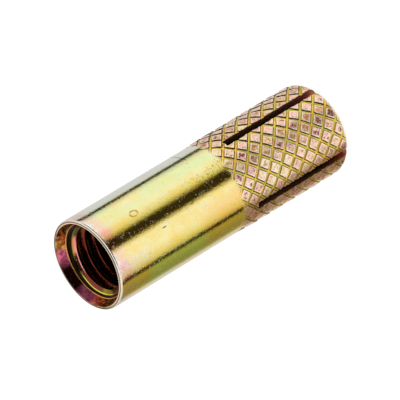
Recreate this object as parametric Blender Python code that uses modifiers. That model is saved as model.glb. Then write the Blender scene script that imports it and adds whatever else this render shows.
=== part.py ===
"""Drop-in anchor, M10 x 12 mm: a steel sleeve with an internal expander plug.

Metres, +Z up. The anchor stands on the slotted tip with its threaded mouth up. The origin is the
centre of the tip face, on the axis.
"""

import math

import bmesh
import bpy
from mathutils import Matrix, Vector

MM = 0.001

# Internal thread, M10 x 1.5 right hand
THREAD_MAJOR_RADIUS = 5.0 * MM
THREAD_PITCH = 1.5 * MM
THREAD_LENGTH = 13.5 * MM
THREAD_LEAD_IN = 0.45 * MM
THREAD_RUN_OUT = 1.8 * MM
THREAD_TURN = math.radians(-52.0)
SHOULDER_WIDTH = 0.58 * MM
SHOULDER_DROP = 0.12 * MM

# Outside of the sleeve
SLEEVE_WALL = 1.0 * MM
SLEEVE_LENGTH = 39.0 * MM
RIM_EDGE_RADIUS = 0.3 * MM
TIP_EDGE_RADIUS = 1.8 * MM

# Countersunk mouth
RIM_LAND = 0.16 * MM
COUNTERSINK_DEPTH = 1.15 * MM
COUNTERSINK_RELIEF = 0.03 * MM

# Tapered bore of the expansion end
TIP_BORE_RADIUS = 2.45 * MM
TIP_LAND = 1.2 * MM
TAPER_LENGTH = 15.7 * MM

# Expander plug
PLUG_LENGTH = 10.0 * MM
PLUG_EDGE = 0.35 * MM
PLUG_TRAVEL = 3.0 * MM
THREAD_CLEARANCE = 0.188 * MM
CHAMBER_CLEARANCE = 0.15 * MM
SEAT_CLEARANCE = 0.05 * MM

# Two crossed saw cuts make the four slots
SLOT_WIDTH = 1.0 * MM
SLOT_LENGTH = 16.2 * MM
SAW_RADIUS = 20.0 * MM

# Diamond knurl rolled into the expansion end
KNURL_STARTS = 17
KNURL_PITCH = 2.2 * MM
KNURL_LENGTH = 18.9 * MM
KNURL_RISE = 0.12 * MM
KNURL_DEPTH = 0.17 * MM
KNURL_GROOVE_WIDTH = 0.44 * MM
KNURL_SHOULDER = 0.03 * MM
KNURL_FADE = 1.3 * MM
KNURL_TURN = math.radians(6.6)
KNURL_SHIFT = 0.35 * MM
KNURL_OVERSHOOT = 0.1 * MM

# Faceting and cutter overshoot
TURNED_STEPS = 68
THREAD_STEPS = 48
RIM_STEPS = 5
TIP_STEPS = 7
SAW_STEPS = 96
CUTTER_MARGIN = 1.0 * MM
STOCK = 0.05 * MM
MERGE_DISTANCE = 0.001 * MM
SPARE_TURNS = 1.5
SPARE_ROWS = 2

# Depth of a basic 60 degree internal thread, as a share of its pitch, and its flats
THREAD_DEPTH_SHARE = 5 * math.sqrt(3) / 16
THREAD_CREST_SHARE = 1 / 4
THREAD_ROOT_SHARE = 1 / 8

SLEEVE_RADIUS = THREAD_MAJOR_RADIUS + SLEEVE_WALL
THREAD_MINOR_RADIUS = THREAD_MAJOR_RADIUS - THREAD_DEPTH_SHARE * THREAD_PITCH
PLUG_RADIUS = THREAD_MINOR_RADIUS - THREAD_CLEARANCE
CHAMBER_RADIUS = PLUG_RADIUS + CHAMBER_CLEARANCE
CREST_RADIUS = SLEEVE_RADIUS + KNURL_RISE
TAPER_TOP = TIP_LAND + TAPER_LENGTH
TAPER_SLOPE = (CHAMBER_RADIUS - TIP_BORE_RADIUS) / TAPER_LENGTH
THREAD_TOP = SLEEVE_LENGTH - COUNTERSINK_DEPTH
THREAD_BOTTOM = THREAD_TOP - THREAD_LENGTH
PLUG_TOP = TAPER_TOP - (CHAMBER_CLEARANCE - SEAT_CLEARANCE) / TAPER_SLOPE + PLUG_TRAVEL


def clear_scene():
    """Remove whatever the start-up file holds."""
    for obj in list(bpy.data.objects):
        bpy.data.objects.remove(obj, do_unlink=True)


def collection(name):
    """A new collection linked to the scene."""
    made = bpy.data.collections.new(name)
    bpy.context.scene.collection.children.link(made)
    return made


def metal(name, colour, roughness):
    """A plated steel finish."""
    material = bpy.data.materials.new(name)
    material.use_nodes = True
    shader = material.node_tree.nodes["Principled BSDF"]
    shader.inputs["Base Color"].default_value = (*colour, 1.0)
    shader.inputs["Metallic"].default_value = 1.0
    shader.inputs["Roughness"].default_value = roughness
    return material


def arc(centre_r, centre_z, radius, start_deg, end_deg, steps):
    """Points of an arc in the (radius, height) half plane."""
    points = []
    for step in range(steps + 1):
        angle = math.radians(start_deg + (end_deg - start_deg) * step / steps)
        points.append((centre_r + radius * math.cos(angle), centre_z + radius * math.sin(angle)))
    return points


def turned(name, profile, closed, group):
    """A solid of revolution about Z from a profile that runs down its outer side."""
    mesh = bpy.data.meshes.new(name)
    count = len(profile)
    edges = [(i, i + 1) for i in range(count - 1)]
    if closed:
        edges.append((count - 1, 0))
    mesh.from_pydata([(r, 0.0, z) for r, z in profile], edges, [])
    obj = bpy.data.objects.new(name, mesh)
    group.objects.link(obj)
    screw = obj.modifiers.new("turn", "SCREW")
    screw.axis = "Z"
    screw.angle = 2 * math.pi
    screw.steps = TURNED_STEPS
    screw.render_steps = TURNED_STEPS
    screw.use_merge_vertices = True
    screw.merge_threshold = MERGE_DISTANCE
    screw.use_normal_calculate = False
    return obj


def sleeve_profile():
    """Section of the sleeve blank: outside from mouth to tip, then back up the bore."""
    stock_radius = CREST_RADIUS + STOCK
    rim_outer = SLEEVE_RADIUS - RIM_EDGE_RADIUS
    rim_arc = arc(rim_outer, SLEEVE_LENGTH - RIM_EDGE_RADIUS, RIM_EDGE_RADIUS, 90, 0, RIM_STEPS)
    tip_centre = stock_radius - TIP_EDGE_RADIUS
    tip_arc = arc(tip_centre, TIP_EDGE_RADIUS, TIP_EDGE_RADIUS, 0, -90, TIP_STEPS)
    outside = rim_arc + [(SLEEVE_RADIUS, KNURL_LENGTH), (stock_radius, KNURL_LENGTH)] + tip_arc
    foot_radius = THREAD_MAJOR_RADIUS + COUNTERSINK_RELIEF
    bore = [
        (TIP_BORE_RADIUS, 0.0),
        (TIP_BORE_RADIUS, TIP_LAND),
        (CHAMBER_RADIUS, TAPER_TOP),
        (CHAMBER_RADIUS, THREAD_TOP - THREAD_LEAD_IN),
        (foot_radius - SHOULDER_WIDTH, THREAD_TOP - SHOULDER_DROP),
        (foot_radius, THREAD_TOP),
        (rim_outer - RIM_LAND, SLEEVE_LENGTH),
    ]
    return outside + bore


def knurl_strength(z):
    """0 where the knurl runs out into the smooth body, 1 where it is full."""
    share = min(max((KNURL_LENGTH - z) / KNURL_FADE, 0.0), 1.0)
    return share * share * (3 - 2 * share)


def knurl_radius(z, on_crest):
    """Radius of a diamond's flat top, or of the bottom of the groove round it."""
    strength = knurl_strength(z)
    crest = SLEEVE_RADIUS + KNURL_SHOULDER + (KNURL_RISE - KNURL_SHOULDER) * strength
    return crest if on_crest else crest - KNURL_DEPTH * strength


def diamond_sheet(bottom, rows):
    """A tube of diamond faces: a grid is poked and its own edges are dissolved."""
    sheet = bmesh.new()
    bmesh.ops.create_circle(sheet, segments=KNURL_STARTS, radius=CREST_RADIUS)
    bmesh.ops.translate(sheet, verts=sheet.verts, vec=(0, 0, bottom))
    ring = list(sheet.edges)
    for _ in range(rows):
        grown = bmesh.ops.extrude_edge_only(sheet, edges=ring)["geom"]
        raised = [item for item in grown if isinstance(item, bmesh.types.BMVert)]
        ring = [item for item in grown if isinstance(item, bmesh.types.BMEdge)]
        bmesh.ops.translate(sheet, verts=raised, vec=(0, 0, KNURL_PITCH))
    grid = [edge for edge in sheet.edges if len(edge.link_faces) == 2]
    bmesh.ops.poke(sheet, faces=sheet.faces)
    bmesh.ops.dissolve_edges(sheet, edges=grid, use_verts=False)
    for vert in sheet.verts:
        direction = Vector((vert.co.x, vert.co.y)).normalized()
        vert.co.x, vert.co.y = direction * CREST_RADIUS
    return sheet


def knurl_cutter(group):
    """The ring of metal that the knurling wheels press away, with the knurl as its inner face."""
    rows = math.ceil((KNURL_LENGTH + 2 * CUTTER_MARGIN) / KNURL_PITCH) + SPARE_ROWS
    sheet = diamond_sheet(KNURL_SHIFT - SPARE_ROWS * KNURL_PITCH, rows)
    grooves = set(sheet.verts)
    bmesh.ops.inset_individual(
        sheet, faces=sheet.faces[:], thickness=KNURL_GROOVE_WIDTH / 2, use_even_offset=True
    )
    for vert in sheet.verts:
        direction = Vector((vert.co.x, vert.co.y)).normalized()
        vert.co.x, vert.co.y = direction * knurl_radius(vert.co.z, vert not in grooves)
    trim_height(sheet, -CUTTER_MARGIN, KNURL_LENGTH + KNURL_OVERSHOOT)
    thick = bmesh.ops.extrude_face_region(sheet, geom=sheet.faces[:])["geom"]
    for item in thick:
        if isinstance(item, bmesh.types.BMVert):
            direction = Vector((item.co.x, item.co.y)).normalized()
            item.co.x, item.co.y = direction * (CREST_RADIUS + CUTTER_MARGIN)
    return cutter_from(sheet, "knurl_cutter", KNURL_TURN, group)


def thread_outline():
    """One pitch of the thread in the (radius, height) half plane, from crest to crest."""
    flank = (1 - THREAD_CREST_SHARE - THREAD_ROOT_SHARE) / 2
    heights = (0, THREAD_CREST_SHARE, THREAD_CREST_SHARE + flank, 1 - flank, 1)
    radii = (
        THREAD_MINOR_RADIUS,
        THREAD_MINOR_RADIUS,
        THREAD_MAJOR_RADIUS,
        THREAD_MAJOR_RADIUS,
        THREAD_MINOR_RADIUS,
    )
    return [(radius, height * THREAD_PITCH) for radius, height in zip(radii, heights)]


def thread_tap(group):
    """The tap that cuts the thread: its outline on a helix, running out at the lower end."""
    turns = math.ceil((THREAD_LENGTH + CUTTER_MARGIN) / THREAD_PITCH) + 2 * SPARE_TURNS
    tap = bmesh.new()
    start = THREAD_BOTTOM - SPARE_TURNS * THREAD_PITCH
    line = [tap.verts.new((radius, 0, start + height)) for radius, height in thread_outline()]
    for lower, upper in zip(line, line[1:]):
        tap.edges.new((lower, upper))
    bmesh.ops.spin(
        tap,
        geom=tap.verts[:] + tap.edges[:],
        cent=(0, 0, 0),
        axis=(0, 0, 1),
        dvec=(0, 0, THREAD_PITCH / THREAD_STEPS),
        angle=2 * math.pi * turns,
        steps=round(THREAD_STEPS * turns),
    )
    bmesh.ops.remove_doubles(tap, verts=tap.verts, dist=MERGE_DISTANCE)
    for vert in tap.verts:
        share = min(max((vert.co.z - THREAD_BOTTOM) / THREAD_RUN_OUT, 0.0), 1.0)
        radius = math.hypot(vert.co.x, vert.co.y)
        faded = THREAD_MINOR_RADIUS + (radius - THREAD_MINOR_RADIUS) * share
        vert.co.x, vert.co.y = Vector((vert.co.x, vert.co.y)) * (faded / radius)
    trim_height(tap, THREAD_BOTTOM, THREAD_TOP + CUTTER_MARGIN)
    rims = [edge for edge in tap.edges if edge.is_boundary]
    bmesh.ops.edgeloop_fill(tap, edges=rims)
    return cutter_from(tap, "thread_tap", THREAD_TURN, group)


def trim_height(sheet, low, high):
    """Keep only what lies between two heights."""
    for height, upward in ((low, -1), (high, 1)):
        geometry = sheet.verts[:] + sheet.edges[:] + sheet.faces[:]
        bmesh.ops.bisect_plane(
            sheet, geom=geometry, plane_co=(0, 0, height), plane_no=(0, 0, upward), clear_outer=True
        )


def cutter_from(sheet, name, turn, group):
    """A cutter object from a closed mesh, in triangles so that every face is flat."""
    bmesh.ops.recalc_face_normals(sheet, faces=sheet.faces)
    bmesh.ops.triangulate(sheet, faces=sheet.faces)
    matrix = Matrix.Rotation(turn, 3, "Z")
    bmesh.ops.rotate(sheet, verts=sheet.verts, cent=(0, 0, 0), matrix=matrix)
    mesh = bpy.data.meshes.new(name)
    sheet.to_mesh(mesh)
    sheet.free()
    obj = bpy.data.objects.new(name, mesh)
    group.objects.link(obj)
    return as_cutter(obj)


def saw_cutter(name, turn, group):
    """A slitting saw at the end of its cut, its arbor square to the sleeve's axis."""
    depth_of_arc = SAW_RADIUS - math.sqrt(SAW_RADIUS**2 - SLEEVE_RADIUS**2)
    centre = SLOT_LENGTH + depth_of_arc - SAW_RADIUS
    bpy.ops.mesh.primitive_cylinder_add(
        vertices=SAW_STEPS,
        radius=SAW_RADIUS,
        depth=SLOT_WIDTH,
        location=(0, 0, centre),
        rotation=(math.pi / 2, 0, turn),
    )
    obj = bpy.context.active_object
    obj.name = name
    for owner in list(obj.users_collection):
        owner.objects.unlink(obj)
    group.objects.link(obj)
    return as_cutter(obj)


def as_cutter(obj):
    """Keep a helper out of the render and drawn as wire."""
    obj.hide_render = True
    obj.display_type = "WIRE"
    return obj


def cut(obj, cutter):
    """Take a cutter's volume away from a piece."""
    boolean = obj.modifiers.new("cut_" + cutter.name, "BOOLEAN")
    boolean.operation = "DIFFERENCE"
    boolean.solver = "EXACT"
    boolean.object = cutter


def finish(obj, material):
    """Apply the modifiers, shade the round faces smooth and give the piece its finish."""
    bpy.context.view_layer.update()
    evaluated = obj.evaluated_get(bpy.context.evaluated_depsgraph_get())
    mesh = bpy.data.meshes.new_from_object(evaluated)
    obj.modifiers.clear()
    obj.data = mesh
    mesh.name = obj.name
    mesh.shade_smooth()
    mesh.set_sharp_from_angle(angle=math.radians(25))
    mesh.materials.clear()
    mesh.materials.append(material)


def make_sleeve(group, cutters):
    """One piece: countersunk mouth, bore, taper, knurl and the four slots."""
    obj = turned("sleeve", sleeve_profile(), True, group)
    cut(obj, thread_tap(cutters))
    cut(obj, knurl_cutter(cutters))
    cut(obj, saw_cutter("saw_across_x", 0.0, cutters))
    cut(obj, saw_cutter("saw_across_y", math.pi / 2, cutters))
    finish(obj, metal("yellow_zinc", (0.80, 0.60, 0.28), 0.28))
    return obj


def make_plug(group):
    """The cone that is driven down the taper, with the taper's own slope on its side."""
    small_radius = PLUG_RADIUS - TAPER_SLOPE * PLUG_LENGTH
    profile = [
        (0.0, PLUG_LENGTH),
        (PLUG_RADIUS - PLUG_EDGE, PLUG_LENGTH),
        (PLUG_RADIUS - TAPER_SLOPE * PLUG_EDGE, PLUG_LENGTH - PLUG_EDGE),
        (small_radius + TAPER_SLOPE * PLUG_EDGE, PLUG_EDGE),
        (small_radius - PLUG_EDGE, 0.0),
        (0.0, 0.0),
    ]
    obj = turned("expander_plug", profile, False, group)
    obj.location = (0.0, 0.0, PLUG_TOP - PLUG_LENGTH)
    finish(obj, metal("bare_steel", (0.55, 0.53, 0.50), 0.35))
    return obj


def main():
    clear_scene()
    pieces = collection("drop_in_anchor")
    cutters = collection("cutters")
    make_sleeve(pieces, cutters)
    make_plug(pieces)


main()
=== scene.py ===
"""Looks of a drop-in anchor: a yellow chromated steel sleeve and the plain plug inside it.

Metres, +Z up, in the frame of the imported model. The anchor stands on its slotted tip, mouth up.
"""

import math

import bmesh
import bpy
import numpy as np
from mathutils import Matrix, Vector

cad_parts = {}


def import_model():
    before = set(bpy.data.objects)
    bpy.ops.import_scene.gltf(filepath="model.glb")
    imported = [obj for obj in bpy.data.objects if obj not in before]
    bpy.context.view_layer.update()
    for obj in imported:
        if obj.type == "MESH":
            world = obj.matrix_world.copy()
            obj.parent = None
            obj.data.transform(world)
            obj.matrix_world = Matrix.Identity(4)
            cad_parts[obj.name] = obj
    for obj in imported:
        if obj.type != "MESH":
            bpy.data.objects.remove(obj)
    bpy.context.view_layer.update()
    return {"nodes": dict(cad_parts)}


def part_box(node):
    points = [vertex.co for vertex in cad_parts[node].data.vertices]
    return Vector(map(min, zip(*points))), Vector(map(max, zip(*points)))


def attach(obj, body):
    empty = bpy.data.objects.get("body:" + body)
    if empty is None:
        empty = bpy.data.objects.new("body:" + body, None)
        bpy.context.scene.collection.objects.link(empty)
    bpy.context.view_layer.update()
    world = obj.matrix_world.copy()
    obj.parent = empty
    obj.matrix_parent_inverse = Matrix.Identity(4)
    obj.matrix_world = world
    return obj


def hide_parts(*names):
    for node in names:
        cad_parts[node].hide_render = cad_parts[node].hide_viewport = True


MM = 0.001

# Sleeve: outside, mouth and bore
BODY_RADIUS = 6.0 * MM
RIM_EDGE_RADIUS = 0.3 * MM
RIM_LAND = 0.16 * MM
RIM_CORNER = 0.09 * MM
COUNTERSINK_DEPTH = 1.15 * MM
COUNTERSINK_FOOT = 5.03 * MM
CHAMBER_RADIUS = 4.15 * MM
TAPER_TOP = 16.9 * MM
TIP_LAND = 1.2 * MM
TIP_BORE_RADIUS = 2.45 * MM
TIP_EDGE_RADIUS = 1.8 * MM
STOCK = 0.17 * MM

# Internal thread, M10 x 1.5 right hand
MAJOR_RADIUS = 5.0 * MM
MINOR_RADIUS = 4.188 * MM
PITCH = 1.5 * MM
THREAD_LENGTH = 13.5 * MM
THREAD_TURN = math.radians(-52.0)
LEAD_IN = 0.75 * MM
SHOULDER_WIDTH = 0.41 * MM
SHOULDER_DROP = 0.30 * MM
CREST_CHAMFER = 0.065 * MM
ROOT_EASE = 0.06 * MM
RUN_OUT = 1.8 * MM
TAP_OVERSHOOT = 1.0 * MM

# Slots, and how far above its outer end a slot may reach inside
SLOT_WIDTH = 1.0 * MM
SLOT_LENGTH = 16.2 * MM
SAW_RADIUS = 20.0 * MM
SLOT_CROWN = 1.2 * MM

# Diamond knurl
KNURL_STARTS = 17
KNURL_PITCH = 2.2 * MM
KNURL_SHIFT = 0.35 * MM
KNURL_TURN = math.radians(96.6)
KNURL_TOP = 18.9 * MM
KNURL_FADE = 1.3 * MM
KNURL_COLOUR_FADE = 0.9 * MM
KNURL_RISE = 0.12 * MM
KNURL_DEPTH = 0.17 * MM
GROOVE_FLOOR = 0.08 * MM
GROOVE_EDGE = 0.23 * MM
GROOVE_NARROWEST = 0.9
GROOVE_SPREAD = 0.25
LIP_PLACE = 0.30 * MM
LIP_WIDTH = 0.08 * MM
LIP_HEIGHT = 0.02 * MM
TOP_DISH = 0.06 * MM
TOP_TILT = 0.20
TILT_REACH = 0.02 * MM
BURR_REACH = 0.45 * MM
BURR_SHARE = 0.7
DIAMOND_WIDTH = 1 / math.hypot(KNURL_STARTS / (2 * math.pi * BODY_RADIUS), 1 / KNURL_PITCH)

# Three random numbers for each diamond, by its column and row
DIAMOND_ROWS = 24
DIAMOND_DRAWS = np.random.default_rng(5).random((KNURL_STARTS, DIAMOND_ROWS, 3))

# Steps of the sleeve's mesh
RIM_STEPS = 6
BODY_STEPS = 24
TIP_STEPS = 22
DIAMOND_STEPS = 20
COUNTERSINK_STEPS = 3
THREAD_STEPS = 144
SAW_STEPS = 160
MERGE_DISTANCE = 0.001 * MM

# How the sleeve's surfaces are told apart
SKIN_RADII = (5.4 * MM, 5.6 * MM)
SKIN_HEIGHTS = (0.2 * MM, 0.9 * MM)
CREST_REACH = (0.1 * MM, 0.3 * MM)
FACE_MARGIN = 0.01 * MM
FLAT_NORMAL = 0.999
SAW_END_NORMAL = -0.5
SAW_END_DROP = 3.0 * MM
SHARP_ANGLE = math.radians(28)
SOFT_RADIUS = 5.5 * MM
SOFT_BOTTOM = 0.3 * MM
SOFT_TOP = KNURL_TOP + 1.0 * MM
SLOT_EDGE_MARGIN = 0.004 * MM

# Marks in the plating, as azimuths in degrees, heights and half sizes on the part. A nick is its
# azimuth, height, half width and half length.
SCRATCH_SIDE = 119
SCRATCH_HEIGHT = 21.6 * MM
DENT_SIDE = 73.3
DENT_HEIGHT = 33.0 * MM
DENT_LENGTH = 0.62 * MM
DENT_WIDTH = 0.45 * MM
DENT_DEPTH = 0.04 * MM
NICKS = [(41, 30.6 * MM, 0.15 * MM, 0.55 * MM), (48, 25.5 * MM, 0.15 * MM, 0.4 * MM)]

# Sides of the part on which a colour shows, as azimuths in degrees. Some carry painted light and shade: a
# sheen along one edge, shade on the olive side and in the dark streak, and the lit and shaded sides of the
# mouth.
GREEN_SIDE = 98
PALE_SHEEN_SIDE = 124
OLIVE_AND_SHADE_SIDE = -6
ORANGE_SIDE = 20
SPECKLED_SIDE = 22
SPRAY_SIDE = 66
# Where the knurl's stains crowd, in the dark streak: partly painted shade
SPOT_SHADE_SIDE = 56
BLUSH_SIDES = (63, 19)
SUNK_PURPLE_SIDE = 237
SUNK_DARK_REFLECTION_SIDE = 233
# Sides of the bore where the thread is painted lit, shaded and with a yellow reflection
PINK_THREAD_LIT_SIDE = 226
RED_THREAD_SHADE_SIDE = 262
YELLOW_THREAD_REFLECTION_SIDE = 304

# Heights and radii, in the millimetres of the material, at which a colour starts and is full.
# Those of the peach, the blush and the pale rim, which is wear and a painted highlight, are met by the height
# with noise added, for a ragged edge, so they are larger than the true ones.
OLIVE_MIDDLE_BOTTOM = (23.5, 26.0)
OLIVE_MIDDLE_TOP = (35.5, 33.0)
ORANGE_HEIGHTS = (27.0, 22.0)
PEACH_HEIGHTS = (37.2, 39.4)
BLUSH_HEIGHTS = (37.0, 39.6)
BLUSH_NOISE = 2.2
SPECKLED_HEIGHTS = (32.5, 35.0)
SPRAY_HEIGHTS = (27.0, 21.0)
LOW_TOP_HEIGHTS = (13.0, 3.0)
SLOT_RED_HEIGHTS = (5.0, 0.5)
WORN_HIGHLIT_HEIGHTS = (40.3, 40.6)
WORN_HIGHLIT_NOISE = 3.6
WORN_HIGHLIT_RADII = (5.66, 5.72)
FACE_HEIGHTS = (38.93, 38.98)
CORNER_RADII = (5.70, 5.64)
FOOT_RING_HEIGHT = 37.85
FOOT_RING_REACH = (0.07, 0.03)
FOOT_RING_RADII = (5.3, 5.2)
LEAD_HEIGHTS = (37.05, 37.09)
CREST_HEIGHTS = (35.6, 37.3)
LEAD_PINK_RADII = (4.45, 4.25)
LEAD_EDGE_RADII = (4.54, 4.60)
SHOULDER_RADII = (4.64, 4.70)

# Colours of the body
DEEP_GOLD = (0.96, 0.76, 0.26)
PALE_GOLD = (0.95, 0.86, 0.42)
LIME = (0.76, 0.90, 0.46)
# A painted sheen: the pale reflection along one edge of the body
MINT_SHEEN = (0.86, 0.94, 0.86)
OLIVE_GOLD = (0.95, 0.68, 0.24)
ORANGE_GOLD = (0.97, 0.66, 0.24)
ORANGE_DRIFT = (0.96, 0.66, 0.28)
PEACH = (0.95, 0.64, 0.50)
BLUSH = (0.96, 0.42, 0.50)
PALE_SPECK = (0.90, 0.86, 0.88)
DARK_SPECK = (0.26, 0.19, 0.05)
MARK = (0.12, 0.09, 0.02)
DENT_RIM = (0.50, 0.27, 0.05)

# Colours of the knurl: its tops, walls and grooves. The walls are painted light and shade, and the lip is a
# painted highlight. The last two are multiplied in on two sides, the olive one as painted shade.
TOP_PINK = (1.0, 0.60, 0.56)
TOP_CREAM = (1.0, 0.84, 0.62)
TOP_LOW = (1.0, 0.66, 0.58)
TOP_LIP_HIGHLIGHT = (1.0, 0.89, 0.72)
STAIN_MAROON = (0.20, 0.02, 0.06)
STAIN_BROWN = (0.60, 0.24, 0.08)
VEIN = (0.62, 0.30, 0.12)
# The walls in painted shade: a lit copy, and a darker shaded copy for the upper side
LIT_WALLS = ((0.24, 0.11, 0.02), (0.60, 0.28, 0.06))
SHADED_WALLS = ((0.02, 0.008, 0.002), (0.20, 0.07, 0.02))
GROOVE_GREENISH = (0.72, 0.64, 0.11)
GROOVE_ORANGE = (1.0, 0.68, 0.11)
# Multiplied in on the olive side: painted shade
KNURL_OLIVE_SHADE = (0.44, 0.31, 0.25)
KNURL_GREEN = (1.0, 0.95, 0.78)

# Colours of the mouth and the slots. Many are painted light and shade: a highlight and shade on the rim,
# shade in the bore and the slots, reflections in the countersink and on the thread.
# Pale rim: wear to bare metal, and a painted highlight
WORN_HIGHLIT = (0.90, 0.90, 0.88)
# The rim's face and corner: painted shade, darker on the far side, and a painted highlight on the near corner
FACE_NEAR_SHADE = (0.30, 0.16, 0.06)
FACE_FAR_SHADE = (0.06, 0.045, 0.012)
CORNER_HIGHLIGHT = (1.0, 0.84, 0.50)
CORNER_FAR_SHADE = (0.30, 0.18, 0.05)
SUNK_AMBERS = ((0.24, 0.08, 0.02), (0.70, 0.42, 0.08))
SUNK_PURPLES = ((0.30, 0.04, 0.10), (0.64, 0.14, 0.21))
# A painted dark reflection in the countersink
SUNK_DARK_REFLECTION = (0.12, 0.025, 0.05)
FOOT_RING = (0.80, 0.36, 0.10)
# The thread in painted light and shade: lit pink crests, shaded roots and deep crests, yellow painted
# reflections
THREAD_SHADE = (0.08, 0.06, 0.015)
THREAD_YELLOW_REFLECTION = (0.30, 0.21, 0.02)
THREAD_ROOT_SHADE = (0.10, 0.07, 0.015)
CREST_LIT_PINK = (0.95, 0.34, 0.32)
CREST_DEEP_SHADE = (0.20, 0.03, 0.02)
LEAD_ORANGE = (0.72, 0.26, 0.08)
LEAD_PINK = (0.88, 0.34, 0.30)
LEAD_RED_SHADE = (0.21, 0.045, 0.03)
LEAD_EDGE_SHADE = (0.12, 0.16, 0.03)
LEAD_EDGE_YELLOW_REFLECTION = (0.70, 0.66, 0.10)
# The shoulder in painted shade
SHOULDER = (0.014, 0.008, 0.003)
# Painted shade in the slots
SLOT_SHADE_BROWN = (0.12, 0.05, 0.025)
SLOT_SHADE_RED = (0.34, 0.09, 0.05)

# Finish of the plating
SMOOTHEST = 0.03
KNURL_MATT_SHARE = 0.5
COAT_WEIGHT = 0.15
COAT_ROUGHNESS = 0.1
COAT_IOR = 1.7
SPECULAR_LEVEL = 0.15
BUMP_STRENGTH = 0.7
GRAIN_HEIGHT_MM = 0.020

# Plug
STEEL_DARK = (0.50, 0.48, 0.45)
STEEL_PALE = (0.62, 0.60, 0.57)
TOOL_RING_DEPTH = 0.01 * MM

# Camera, fitted to the photograph's ellipse of the mouth
MOUTH_PIXEL = (87.0, 265.6)
IMAGE_PIXELS = 400
PIXELS_PER_RADIUS = 50.2
CAMERA_DISTANCE = 600.0 * MM
CAMERA_AZIMUTH = math.radians(49.25)
CAMERA_ELEVATION = math.radians(31.3)
AXIS_ROLL = math.radians(211.25)
SENSOR_MM = 36.0
CLIP_START = 0.01

# Floor, lamps and world. Azimuths are in degrees.
FLOOR_HALF_WIDTH = 2.0
FLOOR_GREY = 0.92
FLOOR_ROUGHNESS = 0.8
FLOOR_GLOW = 1.1
FLOOR_GLOW_SHARE = 0.8
WORLD_LIGHT = 0.8
LAMPS = (("left_lamp", 100), ("right_lamp", 0))
LAMP_POWER = 1.4
LAMP_SIZE = 0.5
LAMP_REACH = 0.6
LAMP_HEIGHT = 0.7

# Light tent round the anchor, seen by reflections alone. A stop's angle is that of the place on the
# body that mirrors it, counted round the axis from the side that faces the camera.
TENT_REACH = 170.0 * MM
TENT_MIDDLE = 125.0 * MM
TENT_HEIGHT = 520.0 * MM
TENT_LIFT = 0.3 * MM
TENT_STEPS = 361
WHITE = (1.0, 1.0, 1.0)
PALE = (0.70, 0.69, 0.71)
AMBER = (0.84, 0.79, 0.42)
BRONZE = (0.52, 0.45, 0.16)
OLIVE = (0.40, 0.37, 0.09)
SHADOW = (0.28, 0.27, 0.08)
DUSK = (0.27, 0.26, 0.28)
GAP = (0.035, 0.026, 0.008)
CEILING = (0.03, 0.03, 0.03)
FLOOR_STOPS = [
    (-90, PALE),
    (-73, PALE),
    (-65, SHADOW),
    (-57, SHADOW),
    (-46, OLIVE),
    (-44.2, OLIVE),
    (-43.4, GAP),
    (-39.0, GAP),
    (-38.0, BRONZE),
    (-32, AMBER),
    (-21, WHITE),
    (-4.5, WHITE),
    (-1.0, BRONZE),
    (1.2, GAP),
    (10.8, GAP),
    (14, BRONZE),
    (17.5, AMBER),
    (26, WHITE),
    (46, WHITE),
    (53.0, PALE),
    (54.8, GAP),
    (59.0, GAP),
    (60.4, PALE),
    (90, PALE),
]
WALL_STOPS = [
    (-90, PALE),
    (-60, PALE),
    (-42, AMBER),
    (-34, WHITE),
    (-22, WHITE),
    (-17, DUSK),
    (-9, GAP),
    (17, GAP),
    (20, DUSK),
    (42, DUSK),
    (48, AMBER),
    (60, PALE),
    (90, PALE),
]


def smooth(value, low, high):
    """0 below low, 1 above high and a smooth step between, for numbers or arrays."""
    share = np.clip((value - low) / (high - low), 0.0, 1.0)
    return share * share * (3 - 2 * share)


def linked(name, data):
    """An object for a mesh, a lamp or a camera, linked to the scene."""
    obj = bpy.data.objects.new(name, data)
    bpy.context.scene.collection.objects.link(obj)
    return obj


def mesh_object(name, points, faces):
    """An object made from points and faces."""
    mesh = bpy.data.meshes.new(name)
    mesh.from_pydata(points, [], faces)
    return linked(name, mesh)


def bmesh_object(name, built):
    """An object made from a bmesh, which is freed."""
    mesh = bpy.data.meshes.new(name)
    built.to_mesh(mesh)
    built.free()
    return linked(name, mesh)


def arc(centre_r, centre_z, radius, start_deg, end_deg, steps):
    """Points of an arc in the (radius, height) half plane."""
    points = []
    for step in range(steps + 1):
        angle = math.radians(start_deg + (end_deg - start_deg) * step / steps)
        points.append((centre_r + radius * math.cos(angle), centre_z + radius * math.sin(angle)))
    return points


def line(start, end, steps):
    """Points along a straight stretch of a profile, both ends included."""
    return [
        (start[0] + (end[0] - start[0]) * step / steps, start[1] + (end[1] - start[1]) * step / steps)
        for step in range(steps + 1)
    ]


def knurl_cells(angle, height):
    """Places in the diamond lattice: offsets from the diamond's middle, and its column and row."""
    around = (angle - KNURL_TURN) * KNURL_STARTS / (2 * math.pi)
    up = (height - KNURL_SHIFT) / KNURL_PITCH
    rising, falling = around + up, around - up
    off_rising = (rising - np.floor(rising) - 0.5) * DIAMOND_WIDTH
    off_falling = (falling - np.floor(falling) - 0.5) * DIAMOND_WIDTH
    column = np.mod(np.floor(rising), KNURL_STARTS).astype(int)
    row = np.mod(np.floor(rising) - np.floor(falling), DIAMOND_ROWS).astype(int)
    return off_rising, off_falling, column, row


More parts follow.
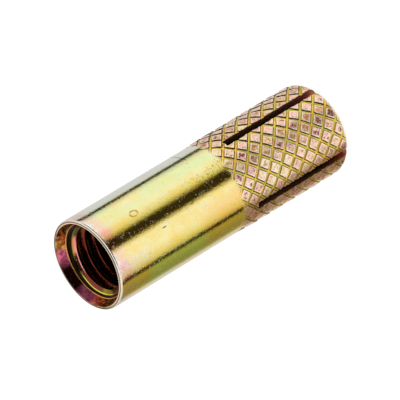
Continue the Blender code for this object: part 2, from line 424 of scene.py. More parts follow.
def knurl_form(angle, height):
    """How far the knurl rises over the body, and how deep its grooves are."""
    off_rising, off_falling, column, row = knurl_cells(angle, height)
    near = DIAMOND_WIDTH / 2 - np.maximum(np.abs(off_rising), np.abs(off_falling))
    draw = DIAMOND_DRAWS[column, row]
    edge = GROOVE_EDGE * (GROOVE_NARROWEST + GROOVE_SPREAD * draw[..., 0])
    top = smooth(near, GROOVE_FLOOR, edge)
    lip = np.exp(-(((near - LIP_PLACE) / LIP_WIDTH) ** 2))
    dish = smooth(near, LIP_PLACE, DIAMOND_WIDTH / 2)
    tilt = (off_rising * (draw[..., 1] - 0.5) + off_falling * (draw[..., 2] - 0.5)) * TOP_TILT
    tilt = np.minimum(tilt, TILT_REACH)
    raised = KNURL_RISE + LIP_HEIGHT * (lip - 1) - TOP_DISH * dish + tilt
    rise = smooth(KNURL_TOP - height, 0.0, 2 * KNURL_FADE)
    strength = smooth(KNURL_TOP - height, 0.0, KNURL_FADE)
    return raised * rise, KNURL_DEPTH * (1 - top) * strength


def sleeve_profile(length):
    """Section of the sleeve in (radius, height): outside from mouth to tip, and bore from tip to mouth."""
    rim_middle = BODY_RADIUS - RIM_EDGE_RADIUS
    row_step = KNURL_PITCH / DIAMOND_STEPS
    first_row = math.ceil((KNURL_TOP - KNURL_SHIFT) / row_step) + 2
    last_row = math.ceil((TIP_EDGE_RADIUS - KNURL_SHIFT) / row_step)
    stock_radius = BODY_RADIUS + STOCK
    body_end = KNURL_SHIFT + (first_row + 1) * row_step
    outside = arc(rim_middle, length - RIM_EDGE_RADIUS, RIM_EDGE_RADIUS, 90, 0, RIM_STEPS)
    outside += line((BODY_RADIUS, length - RIM_EDGE_RADIUS), (BODY_RADIUS, body_end), BODY_STEPS)[1:]
    for row in range(first_row, last_row - 1, -1):
        outside.append((stock_radius, KNURL_SHIFT + row * row_step))
    outside += arc(stock_radius - TIP_EDGE_RADIUS, TIP_EDGE_RADIUS, TIP_EDGE_RADIUS, 0, -90, TIP_STEPS)[1:]

    mouth = rim_middle - RIM_LAND
    countersink_end = length - COUNTERSINK_DEPTH
    bore = line((TIP_BORE_RADIUS, 0), (TIP_BORE_RADIUS, TIP_LAND), 1)
    bore += line((CHAMBER_RADIUS, TAPER_TOP), (CHAMBER_RADIUS, countersink_end - LEAD_IN), 2)
    bore.append((COUNTERSINK_FOOT - SHOULDER_WIDTH, countersink_end - SHOULDER_DROP))
    corner = (mouth - RIM_CORNER / 3, length - RIM_CORNER)
    bore += line((COUNTERSINK_FOOT, countersink_end), corner, COUNTERSINK_STEPS)
    bore += [(mouth, length - RIM_CORNER / 3), (mouth + RIM_CORNER / 2, length)]
    return outside, bore


def sleeve_blank(length):
    """The turned sleeve with its knurl, as one closed grid of rings."""
    outside, bore = sleeve_profile(length)
    rows = np.array(outside + bore)
    columns = KNURL_STARTS * DIAMOND_STEPS
    angle = KNURL_TURN + np.arange(columns) * 2 * math.pi / columns
    radius = np.repeat(rows[:, :1], columns, axis=1)
    height = np.repeat(rows[:, 1:], columns, axis=1)
    skin = slice(0, len(outside))
    risen, groove = knurl_form(angle[None, :], height[skin])
    to_slot = np.minimum(np.abs(np.cos(angle)), np.abs(np.sin(angle))) * BODY_RADIUS - SLOT_WIDTH / 2
    burr = (1 - smooth(to_slot, 0.0, BURR_REACH)) * (height[skin] < SLOT_LENGTH)
    knurled = BODY_RADIUS + risen - groove * (1 - BURR_SHARE * burr)
    radius[skin] = np.minimum(radius[skin], knurled)
    points = np.stack([radius * np.cos(angle), radius * np.sin(angle), height], axis=-1)
    faces = ring_faces(radius)
    return mesh_object("anchor_sleeve", points.reshape(-1, 3).tolist(), faces.tolist())


def ring_faces(radius):
    """Triangles of a closed grid of rings, split so that their edges follow the surface's creases."""
    index = np.arange(radius.size).reshape(radius.shape)
    a, b = index, np.roll(index, -1, axis=0)
    c, d = np.roll(b, -1, axis=1), np.roll(a, -1, axis=1)
    flat = radius.reshape(-1)
    along = (np.abs(flat[a] - flat[c]) <= np.abs(flat[b] - flat[d]))[..., None]
    first = np.where(along, np.stack([a, b, c], -1), np.stack([a, b, d], -1))
    second = np.where(along, np.stack([a, c, d], -1), np.stack([b, c, d], -1))
    return np.concatenate([first.reshape(-1, 3), second.reshape(-1, 3)])


def thread_tap(length):
    """The tap: one pitch of a 60 degree outline on a helix, running out at its lower end."""
    top = length - COUNTERSINK_DEPTH
    bottom = top - THREAD_LENGTH
    # Radius, and height as a share of the pitch
    outline = [
        (MINOR_RADIUS, 0.0),
        (MINOR_RADIUS, 0.2),
        (MINOR_RADIUS + CREST_CHAMFER, 0.275),
        (MAJOR_RADIUS - ROOT_EASE, 0.54),
        (MAJOR_RADIUS, 0.59),
        (MAJOR_RADIUS, 0.66),
        (MAJOR_RADIUS - ROOT_EASE, 0.71),
        (MINOR_RADIUS, 1.0),
    ]
    # Turns to spare at both ends, which the planes below cut off
    turns = math.ceil((THREAD_LENGTH + TAP_OVERSHOOT) / PITCH) + 3
    start = bottom - 1.5 * PITCH
    tap = bmesh.new()
    verts = [tap.verts.new((radius, 0, start + share * PITCH)) for radius, share in outline]
    for lower, upper in zip(verts, verts[1:]):
        tap.edges.new((lower, upper))
    bmesh.ops.spin(
        tap,
        geom=tap.verts[:] + tap.edges[:],
        cent=(0, 0, 0),
        axis=(0, 0, 1),
        dvec=(0, 0, PITCH / THREAD_STEPS),
        angle=2 * math.pi * turns,
        steps=THREAD_STEPS * turns,
    )
    bmesh.ops.remove_doubles(tap, verts=tap.verts, dist=MERGE_DISTANCE)
    for vert in tap.verts:
        share = min(max((vert.co.z - bottom) / RUN_OUT, 0.0), 1.0)
        radius = math.hypot(vert.co.x, vert.co.y)
        faded = MINOR_RADIUS + (radius - MINOR_RADIUS) * share
        vert.co.x, vert.co.y = Vector((vert.co.x, vert.co.y)) * (faded / radius)
    for height, upward in ((bottom, -1), (top + TAP_OVERSHOOT, 1)):
        geometry = tap.verts[:] + tap.edges[:] + tap.faces[:]
        bmesh.ops.bisect_plane(
            tap, geom=geometry, plane_co=(0, 0, height), plane_no=(0, 0, upward), clear_outer=True
        )
    bmesh.ops.edgeloop_fill(tap, edges=[edge for edge in tap.edges if edge.is_boundary])
    bmesh.ops.recalc_face_normals(tap, faces=tap.faces)
    bmesh.ops.triangulate(tap, faces=tap.faces)
    bmesh.ops.rotate(tap, verts=tap.verts, cent=(0, 0, 0), matrix=Matrix.Rotation(THREAD_TURN, 3, "Z"))
    return bmesh_object("thread_tap", tap)


def saw(name, turn):
    """A slitting saw at the end of its cut."""
    disc = bmesh.new()
    centre = SLOT_LENGTH - math.sqrt(SAW_RADIUS**2 - BODY_RADIUS**2)
    place = Matrix.Rotation(turn, 4, "Z") @ Matrix.Translation((0, 0, centre))
    bmesh.ops.create_cone(
        disc,
        cap_ends=True,
        segments=SAW_STEPS,
        radius1=SAW_RADIUS,
        radius2=SAW_RADIUS,
        depth=SLOT_WIDTH,
        matrix=place @ Matrix.Rotation(math.pi / 2, 4, "X"),
    )
    return bmesh_object(name, disc)


def cut(obj, tools):
    """Take each tool away from the piece, apply the result and remove the tools."""
    for tool in tools:
        boolean = obj.modifiers.new("cut", "BOOLEAN")
        boolean.operation = "DIFFERENCE"
        boolean.solver = "MANIFOLD"
        boolean.object = tool
    bpy.context.view_layer.update()
    evaluated = obj.evaluated_get(bpy.context.evaluated_depsgraph_get())
    mesh = bpy.data.meshes.new_from_object(evaluated)
    obj.modifiers.clear()
    obj.data = mesh
    for tool in tools:
        bpy.data.objects.remove(tool, do_unlink=True)


def write_attribute(mesh, name, values, domain="POINT"):
    """Store one number for each point or face, for the material to read."""
    attribute = mesh.attributes.new(name, "FLOAT", domain)
    attribute.data.foreach_set("value", np.asarray(values, np.float32))


def mesh_array(items, name, kind, width):
    """One property of all points, edges or faces as an array."""
    values = np.empty(len(items) * width, kind)
    items.foreach_get(name, values)
    return values.reshape(-1, width) if width > 1 else values


def mark_points(mesh, radius, height):
    """Mark where the knurl's colours show, and the crests of the thread."""
    outer = smooth(radius, *SKIN_RADII) * smooth(height, *SKIN_HEIGHTS)
    write_attribute(mesh, "knurl_zone", smooth(KNURL_TOP - height, 0.0, KNURL_COLOUR_FADE) * outer)
    write_attribute(mesh, "crest", 1 - smooth(radius - MINOR_RADIUS, *CREST_REACH))


def mark_faces(mesh, length):
    """Mark the slots' walls, the countersink and the rest of the inside."""
    middle = mesh_array(mesh.polygons, "center", np.float32, 3).astype(float)
    normal = mesh_array(mesh.polygons, "normal", np.float32, 3)
    from_axis = np.hypot(middle[:, 0], middle[:, 1])
    height = middle[:, 2]
    depth = length - height

    in_slot = (np.abs(middle[:, :2]) < SLOT_WIDTH / 2 + FACE_MARGIN).any(axis=1)
    flat_wall = (np.abs(normal[:, :2]) > FLAT_NORMAL).any(axis=1) & in_slot
    near_end = (height > SLOT_LENGTH - SAW_END_DROP) & (from_axis > CHAMBER_RADIUS)
    saw_end = (normal[:, 2] < SAW_END_NORMAL) & near_end
    slotted = (flat_wall | saw_end) & (height < SLOT_LENGTH + SLOT_CROWN)
    inward = (middle[:, :2] * normal[:, :2]).sum(axis=1) < 0
    countersunk = inward & (depth > 0) & (depth < COUNTERSINK_DEPTH - FACE_MARGIN)
    inside = (from_axis < COUNTERSINK_FOOT + FACE_MARGIN) & (height > FACE_MARGIN) & ~countersunk
    write_attribute(mesh, "slot_wall", slotted, "FACE")
    write_attribute(mesh, "countersink", countersunk, "FACE")
    write_attribute(mesh, "inside", inside, "FACE")


def shade_edges(mesh, points, radius, height):
    """Shade smooth, with sharp edges by angle. On the knurl only the slots' edges stay sharp."""
    mesh.shade_smooth()
    mesh.set_sharp_from_angle(angle=SHARP_ANGLE)
    to_slot = np.minimum(np.abs(points[:, 0]), np.abs(points[:, 1])) - SLOT_WIDTH / 2
    slot_edge = (np.abs(to_slot) < SLOT_EDGE_MARGIN) & (height < SLOT_LENGTH + SLOT_CROWN)
    skin = (radius > SOFT_RADIUS) & (height > SOFT_BOTTOM) & (height < SOFT_TOP)
    ends = mesh_array(mesh.edges, "vertices", np.int32, 2)
    on_skin = skin[ends].all(axis=1) & ~slot_edge[ends].all(axis=1)
    sharp = mesh.attributes["sharp_edge"]
    flags = mesh_array(sharp.data, "value", bool, 1)
    sharp.data.foreach_set("value", flags & ~on_skin)
    mesh.update()


def dress_sleeve(obj, length):
    """Mark the surfaces that the material treats apart, and set which edges stay sharp."""
    mesh = obj.data
    points = mesh_array(mesh.vertices, "co", np.float32, 3).astype(float)
    radius = np.hypot(points[:, 0], points[:, 1])
    height = points[:, 2]
    mark_points(mesh, radius, height)
    mark_faces(mesh, length)
    shade_edges(mesh, points, radius, height)


class Shader:
    """A material's node tree, with short calls for the nodes used here."""

    def __init__(self, name):
        self.material = bpy.data.materials.new(name)
        self.material.use_nodes = True
        self.tree = self.material.node_tree
        self.surface = self.tree.nodes["Principled BSDF"]

    def feed(self, socket, value):
        """Link an input to another node's output, or set it."""
        if isinstance(value, bpy.types.NodeSocket):
            self.tree.links.new(value, socket)
        else:
            socket.default_value = value

    def add(self, kind, inputs, **settings):
        """A node with its settings, and its inputs either linked or set."""
        node = self.tree.nodes.new(kind)
        for key, value in settings.items():
            setattr(node, key, value)
        for key, value in inputs.items():
            self.feed(node.inputs[key], value)
        return node

    def set(self, name, value):
        """Set or link one input of the Principled shader."""
        self.feed(self.surface.inputs[name], value)

    def show(self, shader):
        """Let another shader than the Principled one make the surface."""
        self.tree.links.new(shader, self.tree.nodes["Material Output"].inputs["Surface"])

    def math(self, operation, first, second=0.0):
        """One calculation with two numbers."""
        return self.add("ShaderNodeMath", {0: first, 1: second}, operation=operation).outputs[0]

    def times(self, first, *others):
        """Product of two or more numbers."""
        for other in others:
            first = self.math("MULTIPLY", first, other)
        return first

    def plus(self, first, *others):
        """Sum of two or more numbers."""
        for other in others:
            first = self.math("ADD", first, other)
        return first

    def less(self, first, second):
        """The first number less the second."""
        return self.math("SUBTRACT", first, second)

    def vector(self, operation, first, second=(0, 0, 0), output="Vector"):
        """One calculation with vectors. Those that give a number have it in the output Value."""
        inputs = {0: first, 1: second}
        return self.add("ShaderNodeVectorMath", inputs, operation=operation).outputs[output]

    def attribute(self, name):
        """A number stored on the mesh."""
        return self.add("ShaderNodeAttribute", {}, attribute_name=name).outputs["Fac"]

    def noise(self, place, scale, detail=2.0, rough=0.5):
        """Random variation round 0.5. A larger scale makes it finer."""
        inputs = {"Vector": place, "Scale": scale, "Detail": detail, "Roughness": rough}
        return self.add("ShaderNodeTexNoise", inputs).outputs["Fac"]

    def step(self, value, low, high):
        """0 at low and 1 at high, with a smooth step between. Low may be the larger."""
        inputs = {"Value": value, "From Min": low, "From Max": high}
        node = self.add("ShaderNodeMapRange", inputs, interpolation_type="SMOOTHSTEP")
        return node.outputs["Result"]

    def blend(self, share, first, second, how="MIX"):
        """Mix two colours."""
        node = self.add("ShaderNodeMix", {}, data_type="RGBA", blend_type=how, clamp_factor=True)
        self.feed(node.inputs[0], share)
        for socket, colour in ((node.inputs[6], first), (node.inputs[7], second)):
            self.feed(socket, (*colour, 1.0) if isinstance(colour, tuple) else colour)
        return node.outputs[2]

    def place(self, stretch=(1, 1, 1)):
        """The part's own coordinates in millimetres, stretched if asked."""
        where = self.add("ShaderNodeTexCoord", {}).outputs["Object"]
        return self.vector("MULTIPLY", where, tuple(share / MM for share in stretch))


class Plating(Shader):
    """Iridescent yellow chromate on zinc: gold with drifts of pink, green and orange."""

    def __init__(self):
        super().__init__("yellow_zinc")
        self.spot = self.place()
        self.height = self.add("ShaderNodeSeparateXYZ", {0: self.spot}).outputs["Z"]
        flat = self.place((1, 1, 0))
        self.radius = self.vector("LENGTH", flat, output="Value")
        self.outward = self.vector("NORMALIZE", flat)
        self.medium = self.noise(self.spot, 0.6, 4.0, 0.6)
        self.grain = self.noise(self.spot, 2.4, 4.0, 0.7)
        self.green = self.times(self.side(GREEN_SIDE, 0.90, 0.99), 0.85)
        # The olive side: an olive tint on the body, and painted shade on the knurl
        self.olive = self.side(OLIVE_AND_SHADE_SIDE, 0.93, 0.98)
        patch = self.times(self.side(SPECKLED_SIDE, 0.975, 0.995), self.step(self.height, *SPECKLED_HEIGHTS))
        self.speckle = self.plus(self.noise(self.spot, 2.6, 4.0, 0.75), self.times(patch, 0.10))
        self.pale_specks = self.step(self.speckle, 0.59, 0.63)
        self.dent = self.oval(DENT_SIDE, DENT_HEIGHT, DENT_WIDTH, DENT_LENGTH)
        # Pale rim edge: wear, and a painted highlight on the rounding
        worn_highlit = self.step(self.plus(self.height, self.times(self.grain, WORN_HIGHLIT_NOISE)), *WORN_HIGHLIT_HEIGHTS)
        self.worn_highlit = self.times(worn_highlit, self.step(self.radius, *WORN_HIGHLIT_RADII))
        off_ring = self.math("ABSOLUTE", self.less(self.height, FOOT_RING_HEIGHT))
        ring = self.step(off_ring, *FOOT_RING_REACH)
        self.foot_ring = self.times(ring, self.step(self.radius, *FOOT_RING_RADII))
        self.zone = self.attribute("knurl_zone")
        self.inside = self.attribute("inside")
        self.slot_wall = self.attribute("slot_wall")

    def side(self, azimuth_deg, edge, full):
        """A strip along the part, round an azimuth.

        The cosine of the angle from it makes the strip's edges: 0 up to edge, and 1 from full on.
        """
        turn = math.radians(azimuth_deg)
        aim = (math.cos(turn), math.sin(turn), 0)
        return self.step(self.vector("DOT_PRODUCT", self.outward, aim, "Value"), edge, full)

    def oval(self, azimuth_deg, height, width, length):
        """Distance from a place on the body: 0 there and 1 at the edge of an oval of these half sizes."""
        turn = math.radians(azimuth_deg)
        centre = (BODY_RADIUS * math.cos(turn), BODY_RADIUS * math.sin(turn), height)
        where = self.add("ShaderNodeTexCoord", {}).outputs["Object"]
        offset = self.vector("SUBTRACT", where, centre)
        scaled = self.vector("MULTIPLY", offset, (1 / width, 1 / width, 1 / length))
        return self.vector("LENGTH", scaled, output="Value")

    def body(self):
        """The smooth body: gold with green, olive and orange drifts, pink towards the mouth, and a painted
        sheen along one edge.
        """
        drift = self.noise(self.place((1, 1, 0.22)), 0.3, 3.0, 0.55)
        colour = self.blend(self.step(self.medium, 0.3, 0.7), DEEP_GOLD, PALE_GOLD)
        colour = self.blend(self.times(self.green, self.step(drift, 0.36, 0.54)), colour, LIME)
        # A mint strip along one side: painted sheen, the pale reflection along that edge
        colour = self.blend(self.times(self.side(PALE_SHEEN_SIDE, 0.95, 0.985), 0.75), colour, MINT_SHEEN)
        above = self.step(self.height, *OLIVE_MIDDLE_BOTTOM)
        middle = self.times(above, self.step(self.height, *OLIVE_MIDDLE_TOP))
        olive_tint = self.blend(middle, OLIVE_GOLD, LIME)
        colour = self.blend(self.times(self.olive, 0.8), colour, olive_tint)
        colour = self.blend(self.times(self.step(drift, 0.54, 0.68), 0.6), colour, ORANGE_DRIFT)
        orange = self.times(self.side(ORANGE_SIDE, 0.93, 0.99), self.step(self.height, *ORANGE_HEIGHTS))
        colour = self.blend(self.times(orange, 0.8), colour, ORANGE_GOLD)
        ragged = self.plus(self.height, self.times(self.medium, BLUSH_NOISE))
        colour = self.blend(self.times(self.step(ragged, *PEACH_HEIGHTS), 0.8), colour, PEACH)
        for azimuth in BLUSH_SIDES:
            blush = self.times(self.side(azimuth, 0.965, 0.992), self.step(ragged, *BLUSH_HEIGHTS))
            colour = self.blend(self.times(blush, 0.75), colour, BLUSH)
        return colour

    def specks(self, colour):
        """Pale and dark specks over the body."""
        colour = self.blend(self.times(self.pale_specks, 0.8), colour, PALE_SPECK)
        spray = self.times(self.side(SPRAY_SIDE, 0.975, 0.995), self.step(self.height, *SPRAY_HEIGHTS))
        pits = self.less(self.noise(self.spot, 3.2, 4.0, 0.8), self.times(spray, 0.09))
        return self.blend(self.times(self.step(pits, 0.37, 0.33), 0.75), colour, DARK_SPECK)

    def marks(self, colour):
        """A scratch part of the way round above the knurl, two nicks, and the ring round the dent."""
        off_scratch = self.math("ABSOLUTE", self.less(self.height, SCRATCH_HEIGHT / MM))
        marks = self.times(self.step(off_scratch, 0.09, 0.05), self.side(SCRATCH_SIDE, 0.93, 0.96))
        for nick in NICKS:
            uneven = self.plus(self.oval(*nick), self.times(self.speckle, 1.6))
            marks = self.math("MAXIMUM", marks, self.step(uneven, 1.55, 1.25))
        colour = self.blend(self.times(marks, 0.8), colour, MARK)
        ring = self.times(self.step(self.dent, 0.55, 0.85), self.step(self.dent, 1.2, 0.95))
        return self.blend(self.times(ring, self.step(self.grain, 0.33, 0.56)), colour, DENT_RIM)

    def lattice(self):
        """Places in the diamond lattice: mm to the nearest groove, groove's family, its side and a number.
        The side picks between the lit and the shaded wall.
        """
        split = self.add("ShaderNodeSeparateXYZ", {0: self.spot})
        azimuth = self.math("ARCTAN2", split.outputs["Y"], split.outputs["X"])
        around = self.times(self.less(azimuth, KNURL_TURN), KNURL_STARTS / (2 * math.pi))
        up = self.math("DIVIDE", self.less(split.outputs["Z"], KNURL_SHIFT / MM), KNURL_PITCH / MM)
        ways = (self.plus(around, up), self.less(around, up))
        offset = [self.less(self.math("FRACT", way), 0.5) for way in ways]
        size = [self.math("ABSOLUTE", value) for value in offset]
        near = self.times(self.less(0.5, self.math("MAXIMUM", *size)), DIAMOND_WIDTH / MM)
        steep = self.math("GREATER_THAN", *size)
        larger = self.plus(self.times(offset[0], steep), offset[1])
        larger = self.less(larger, self.times(offset[1], steep))
        upper = self.math("LESS_THAN", larger, 0.0)
        cell = [self.math("FLOOR", way) for way in ways]
        column = self.math("FLOORED_MODULO", cell[0], KNURL_STARTS)
        row = self.less(cell[0], cell[1])
        pair = self.add("ShaderNodeCombineXYZ", {0: column, 1: row}).outputs[0]
        number = self.add("ShaderNodeTexWhiteNoise", {"Vector": pair}).outputs["Value"]
        return near, steep, upper, number

    def tops(self, near, number):
        """The diamonds' tops: pink to cream by their number, with stains, veins and a pale lip. The lip is a
        painted highlight, and where the stains crowd on the side of the dark streak they are partly painted
        shade.
        """
        colour = self.blend(self.step(number, 0.2, 0.9), TOP_PINK, TOP_CREAM)
        colour = self.blend(self.step(self.height, *LOW_TOP_HEIGHTS), colour, TOP_LOW)
        # More stains on the side of the dark streak: there they are partly painted shade
        spots = self.times(self.side(SPOT_SHADE_SIDE, 0.95, 0.99), 0.08)
        stain = self.step(self.plus(self.noise(self.spot, 1.9, 4.0, 0.75), spots), 0.53, 0.60)
        stained = self.blend(self.step(number, 0.55, 0.75), STAIN_MAROON, STAIN_BROWN)
        colour = self.blend(self.times(stain, 0.9), colour, stained)
        vein = self.math("ABSOLUTE", self.less(self.noise(self.spot, 1.5, 3.0, 0.6), 0.5))
        colour = self.blend(self.times(self.step(vein, 0.030, 0.012), 0.6), colour, VEIN)
        # The pale lip along each top's edge: painted highlight
        return self.blend(self.times(self.step(near, 0.42, 0.30), 0.8), colour, TOP_LIP_HIGHLIGHT)

    def knurl(self):
        """The knurl: golden grooves, brown walls in painted shade, lit on one side of a groove and darker on
        its upper side, and the tops.
        """
        near, steep, upper, number = self.lattice()
        uneven = self.times(self.noise(self.spot, 1.8, 3.0, 0.7), 0.16)
        near = self.less(self.plus(near, uneven), 0.08)
        # Walls painted as shade, darker on the groove's upper side and lit on the other
        wall = self.blend(upper, self.blend(steep, *LIT_WALLS), self.blend(steep, *SHADED_WALLS))
        gold = self.blend(self.step(self.medium, 0.42, 0.58), GROOVE_GREENISH, GROOVE_ORANGE)
        colour = self.blend(self.step(near, 0.09, 0.12), gold, wall)
        colour = self.blend(self.step(near, 0.19, 0.24), colour, self.tops(near, number))
        # On the olive side the knurl is multiplied darker: painted shade for the dark streak there
        colour = self.blend(self.times(self.olive, 0.9), colour, KNURL_OLIVE_SHADE, "MULTIPLY")
        return self.blend(self.green, colour, KNURL_GREEN, "MULTIPLY")

    def rim(self, colour):
        """The pale rounded edge of the mouth, from wear and a painted highlight; its narrow face, dark as
        painted shade and darkest on the far side; and that face's inner corner, a painted highlight on the
        near side and painted shade on the far side.
        """
        # The rounded outer edge turns pale: wear, and a painted highlight
        colour = self.blend(self.worn_highlit, colour, WORN_HIGHLIT)
        face = self.step(self.height, *FACE_HEIGHTS)
        # The far side of the rim is painted darker: painted shade on its face and corner; the near corner is
        # a painted highlight
        far = self.side(SUNK_PURPLE_SIDE, -0.1, 0.5)
        colour = self.blend(face, colour, self.blend(far, FACE_NEAR_SHADE, FACE_FAR_SHADE))
        corner = self.times(face, self.step(self.radius, *CORNER_RADII))
        return self.blend(corner, colour, self.blend(far, CORNER_HIGHLIGHT, CORNER_FAR_SHADE))

    def countersink(self):
        """The countersink: mottled amber and, on one side, purple with a dark strip, which is a painted dark
        reflection.
        """
        mottle = self.step(self.noise(self.spot, 1.4, 4.0, 0.75), 0.42, 0.58)
        purple = self.side(SUNK_PURPLE_SIDE, 0.62, 0.76)
        colour = self.blend(purple, self.blend(mottle, *SUNK_AMBERS), self.blend(mottle, *SUNK_PURPLES))
        # The dark strip on the far side: painted dark reflection
        return self.blend(self.side(SUNK_DARK_REFLECTION_SIDE, 0.94, 0.98), colour, SUNK_DARK_REFLECTION)

    def thread(self):
        """The thread's crests and roots, and above them the lead-in and the shoulder, in painted light and
        shade: crests lit pink on one side and darker deeper down, yellow painted reflections on another side,
        roots and shoulder in painted shade.
        """
        # Crests lit pink on one side, yellow painted reflections on another, painted shade elsewhere
        lit_pinkish = self.side(PINK_THREAD_LIT_SIDE, 0.48, 0.68)
        shade_and_reflection = self.blend(self.side(YELLOW_THREAD_REFLECTION_SIDE, 0.90, 0.97), THREAD_SHADE, THREAD_YELLOW_REFLECTION)
        crest = self.blend(lit_pinkish, shade_and_reflection, CREST_LIT_PINK)
        # Deeper crests darker: painted shade inside the bore
        crest = self.blend(self.step(self.height, *CREST_HEIGHTS), CREST_DEEP_SHADE, crest)
        turns = self.blend(self.attribute("crest"), THREAD_ROOT_SHADE, crest)
        lead = self.blend(self.step(self.radius, *LEAD_PINK_RADII), LEAD_ORANGE, LEAD_PINK)
        lead = self.blend(self.side(RED_THREAD_SHADE_SIDE, 0.80, 0.95), lead, LEAD_RED_SHADE)
        lead = self.blend(lit_pinkish, shade_and_reflection, lead)
        edge = self.blend(self.side(YELLOW_THREAD_REFLECTION_SIDE, 0.1, 0.5), LEAD_EDGE_SHADE, LEAD_EDGE_YELLOW_REFLECTION)
        lead = self.blend(self.step(self.radius, *LEAD_EDGE_RADII), lead, edge)
        lead = self.blend(self.step(self.radius, *SHOULDER_RADII), lead, SHOULDER)
        return self.blend(self.step(self.height, *LEAD_HEIGHTS), turns, lead)

    def set_finish(self):
        """Roughness, bump, coat and the knurl's matt share."""
        rougher = (
            (self.grain, 0.07),
            (self.zone, 0.24),
            (self.pale_specks, 0.32),
            (self.worn_highlit, 0.12),
            (self.foot_ring, 0.25),
        )
        self.set("Roughness", self.plus(SMOOTHEST, *[self.times(*pair) for pair in rougher]))
        hollow = self.times(self.step(self.dent, 1.0, 0.4), DENT_DEPTH / MM)
        relief = self.less(self.times(self.grain, GRAIN_HEIGHT_MM), hollow)
        bump = self.add("ShaderNodeBump", {"Height": relief, "Strength": BUMP_STRENGTH, "Distance": MM})
        self.set("Normal", bump.outputs["Normal"])
        matt = self.times(self.less(self.zone, self.inside), KNURL_MATT_SHARE)
        self.set("Metallic", self.less(1.0, self.math("MAXIMUM", matt, 0.0)))
        self.set("Specular IOR Level", SPECULAR_LEVEL)
        bare = self.math("MAXIMUM", self.math("MAXIMUM", self.inside, self.slot_wall), self.zone)
        self.set("Coat Weight", self.times(self.less(1.0, bare), COAT_WEIGHT))
        self.set("Coat Roughness", COAT_ROUGHNESS)
        self.set("Coat IOR", COAT_IOR)


def yellow_zinc():
    """The sleeve's plating, laid from the body over the knurl and the mouth to the slots."""
    shade = Plating()
    colour = shade.marks(shade.specks(shade.body()))
    colour = shade.blend(shade.zone, colour, shade.knurl())
    colour = shade.rim(colour)
    colour = shade.blend(shade.attribute("countersink"), colour, shade.countersink())
    colour = shade.blend(shade.inside, colour, shade.thread())
    colour = shade.blend(shade.foot_ring, colour, FOOT_RING)
    # The slots' walls painted dark brown, redder towards the tip: painted shade in the narrow slots
    slot = shade.blend(shade.step(shade.height, *SLOT_RED_HEIGHTS), SLOT_SHADE_BROWN, SLOT_SHADE_RED)
    shade.set("Base Color", shade.blend(shade.slot_wall, colour, slot))
    shade.set_finish()
    return shade.material


def plain_steel():
    """Turned steel with fine rings left by the tool."""
    shade = Shader("plain_steel")
    rings = shade.noise(shade.place((1, 1, 8)), 1.2, 3.0)
    shade.set("Base Color", shade.blend(rings, STEEL_DARK, STEEL_PALE))
    shade.set("Metallic", 1.0)
    shade.set("Roughness", shade.plus(shade.times(rings, 0.2), 0.2))
    bump = shade.add("ShaderNodeBump", {"Height": rings, "Strength": 0.4, "Distance": TOOL_RING_DEPTH})
    shade.set("Normal", bump.outputs["Normal"])
    return shade.material


def seen_rays(tree):
    """1 for a ray of the camera, a reflection or a refraction, and 0 for the rest."""
    path = tree.nodes.new("ShaderNodeLightPath")
    total = path.outputs["Is Camera Ray"]
    for name in ("Is Glossy Ray", "Is Transmission Ray"):
        maximum = tree.nodes.new("ShaderNodeMath")
        maximum.operation = "MAXIMUM"
        tree.links.new(total, maximum.inputs[0])
        tree.links.new(path.outputs[name], maximum.inputs[1])
        total = maximum.outputs[0]
    return total


def make_floor():
    """A pale floor that shows white and keeps a soft shadow."""
    built = bmesh.new()
    bmesh.ops.create_grid(built, x_segments=8, y_segments=8, size=FLOOR_HALF_WIDTH)
    floor = bmesh_object("floor", built)
    shade = Shader("pale_floor")
    shade.set("Base Color", (FLOOR_GREY, FLOOR_GREY, FLOOR_GREY, 1))
    shade.set("Roughness", FLOOR_ROUGHNESS)
    glow = shade.add("ShaderNodeEmission", {"Strength": FLOOR_GLOW}).outputs[0]
    share = shade.times(seen_rays(shade.tree), FLOOR_GLOW_SHARE)
    mixed = shade.add("ShaderNodeMixShader", {0: share, 1: shade.surface.outputs[0], 2: glow})
    shade.show(mixed.outputs[0])
    floor.data.materials.append(shade.material)


def tent_colours(stops, angles):
    """Colours at the given angles, read between the stops."""
    places = [angle for angle, _ in stops]
    return np.stack(
        [np.interp(angles, places, [colour[channel] for _, colour in stops]) for channel in range(3)], -1
    )


def tent_rings():
    """Rings of the tent's points with their colours, from the anchor's foot outwards and up."""
    angles = np.linspace(-90, 90, TENT_STEPS)
    floor = tent_colours(FLOOR_STOPS, angles)
    wall = tent_colours(WALL_STOPS, angles)
    bright = 0 * wall + WHITE
    dark = 0 * wall + CEILING
    normal = CAMERA_AZIMUTH + np.radians(angles)
    mirrored = CAMERA_AZIMUTH + 2 * np.radians(angles)
    foot = np.stack([np.cos(normal), np.sin(normal), 0 * normal], -1) * BODY_RADIUS
    away = np.stack([np.cos(mirrored), np.sin(mirrored), 0 * mirrored], -1) * TENT_REACH
    return [
        (foot + (0, 0, TENT_LIFT), floor),
        (foot + away + (0, 0, TENT_LIFT), floor),
        (foot + away + (0, 0, 2 * TENT_LIFT), wall),
        (foot + away + (0, 0, TENT_MIDDLE), wall),
        (foot + away + (0, 0, TENT_MIDDLE + TENT_LIFT), bright),
        (foot + away + (0, 0, TENT_HEIGHT), bright),
        (foot + away + (0, 0, TENT_HEIGHT + TENT_LIFT), dark),
        (0 * foot + (0, 0, TENT_HEIGHT + TENT_LIFT), dark),
    ]


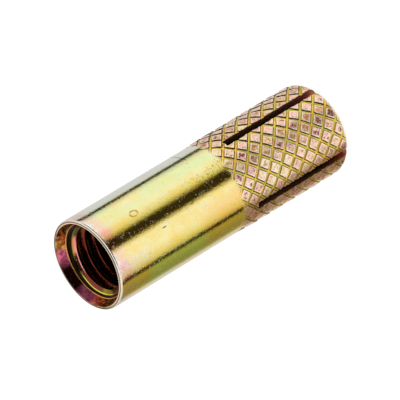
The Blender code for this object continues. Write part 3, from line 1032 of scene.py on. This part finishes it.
def make_tent():
    """A light tent that only reflections see: floor, two-banded wall and dark ceiling."""
    rings = tent_rings()
    points = np.concatenate([ring for ring, _ in rings])
    faces = []
    for ring in range(len(rings) - 1):
        for step in range(TENT_STEPS - 1):
            a = ring * TENT_STEPS + step
            faces.append((a, a + 1, a + 1 + TENT_STEPS, a + TENT_STEPS))
    tent = mesh_object("tent", points.tolist(), faces)
    layer = tent.data.attributes.new("light", "FLOAT_COLOR", "POINT")
    shades = np.concatenate([colours for _, colours in rings])
    rgba = np.concatenate([shades, np.ones((len(shades), 1))], axis=1)
    layer.data.foreach_set("color", rgba.astype(np.float32).reshape(-1))
    shade = Shader("tent_cloth")
    light = shade.add("ShaderNodeAttribute", {}, attribute_name="light").outputs["Color"]
    shade.show(shade.add("ShaderNodeEmission", {"Color": light}).outputs[0])
    tent.data.materials.append(shade.material)
    tent.visible_camera = False
    tent.visible_diffuse = False
    tent.visible_shadow = False
    tent.visible_transmission = False
    tent.visible_volume_scatter = False


def make_light():
    """Even white surroundings and two soft lamps."""
    world = bpy.data.worlds.new("surroundings")
    bpy.context.scene.world = world
    world.use_nodes = True
    tree = world.node_tree
    background = tree.nodes["Background"]
    background.inputs["Color"].default_value = (1, 1, 1, 1)
    strength = tree.nodes.new("ShaderNodeMapRange")
    strength.inputs["To Min"].default_value = WORLD_LIGHT
    strength.inputs["To Max"].default_value = 1.0
    tree.links.new(seen_rays(tree), strength.inputs["Value"])
    tree.links.new(strength.outputs["Result"], background.inputs["Strength"])
    for name, azimuth in LAMPS:
        lamp = bpy.data.lights.new(name, "AREA")
        lamp.size = LAMP_SIZE
        lamp.energy = LAMP_POWER
        holder = linked(name, lamp)
        turn = math.radians(azimuth)
        holder.location = (LAMP_REACH * math.cos(turn), LAMP_REACH * math.sin(turn), LAMP_HEIGHT)
        holder.rotation_euler = (-holder.location).to_track_quat("-Z", "Y").to_euler()
        holder.visible_glossy = False


def make_camera(length):
    """The photograph's view: the mouth at its pixel, the axis rolled as the picture shows it."""
    focal = PIXELS_PER_RADIUS * CAMERA_DISTANCE / BODY_RADIUS
    towards = Vector(
        (
            math.cos(CAMERA_ELEVATION) * math.cos(CAMERA_AZIMUTH),
            math.cos(CAMERA_ELEVATION) * math.sin(CAMERA_AZIMUTH),
            math.sin(CAMERA_ELEVATION),
        )
    )
    up = (Vector((0, 0, 1)) - towards * towards.z).normalized()
    right = up.cross(towards)
    level = Matrix((right, up, towards)).transposed()
    rolled = level @ Matrix.Rotation(math.pi / 2 - AXIS_ROLL, 3, "Z")
    half = IMAGE_PIXELS / 2
    pointing = Vector(((MOUTH_PIXEL[0] - half) / focal, (half - MOUTH_PIXEL[1]) / focal, -1))
    aim = pointing.rotation_difference(Vector((0, 0, -1))).to_matrix()
    data = bpy.data.cameras.new("camera")
    data.sensor_width = SENSOR_MM
    data.lens = focal * SENSOR_MM / IMAGE_PIXELS
    data.clip_start = CLIP_START
    camera = linked("camera", data)
    mouth = Vector((0, 0, length))
    camera.matrix_world = Matrix.LocRotScale(
        mouth + towards * CAMERA_DISTANCE, (rolled @ aim).to_quaternion(), None
    )
    bpy.context.scene.camera = camera


def main():
    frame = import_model()
    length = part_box("sleeve")[1][2]

    sleeve = sleeve_blank(length)
    cut(sleeve, [thread_tap(length), saw("saw_x", 0.0), saw("saw_y", math.pi / 2)])
    dress_sleeve(sleeve, length)
    sleeve.data.materials.clear()
    sleeve.data.materials.append(yellow_zinc())
    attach(sleeve, "sleeve")
    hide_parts("sleeve")

    plug = frame["nodes"]["expander_plug"]
    steel = plain_steel()
    for slot in plug.material_slots:
        slot.material = steel

    make_floor()
    make_tent()
    make_light()
    make_camera(length)
    bpy.context.scene.view_settings.view_transform = "Standard"


main()
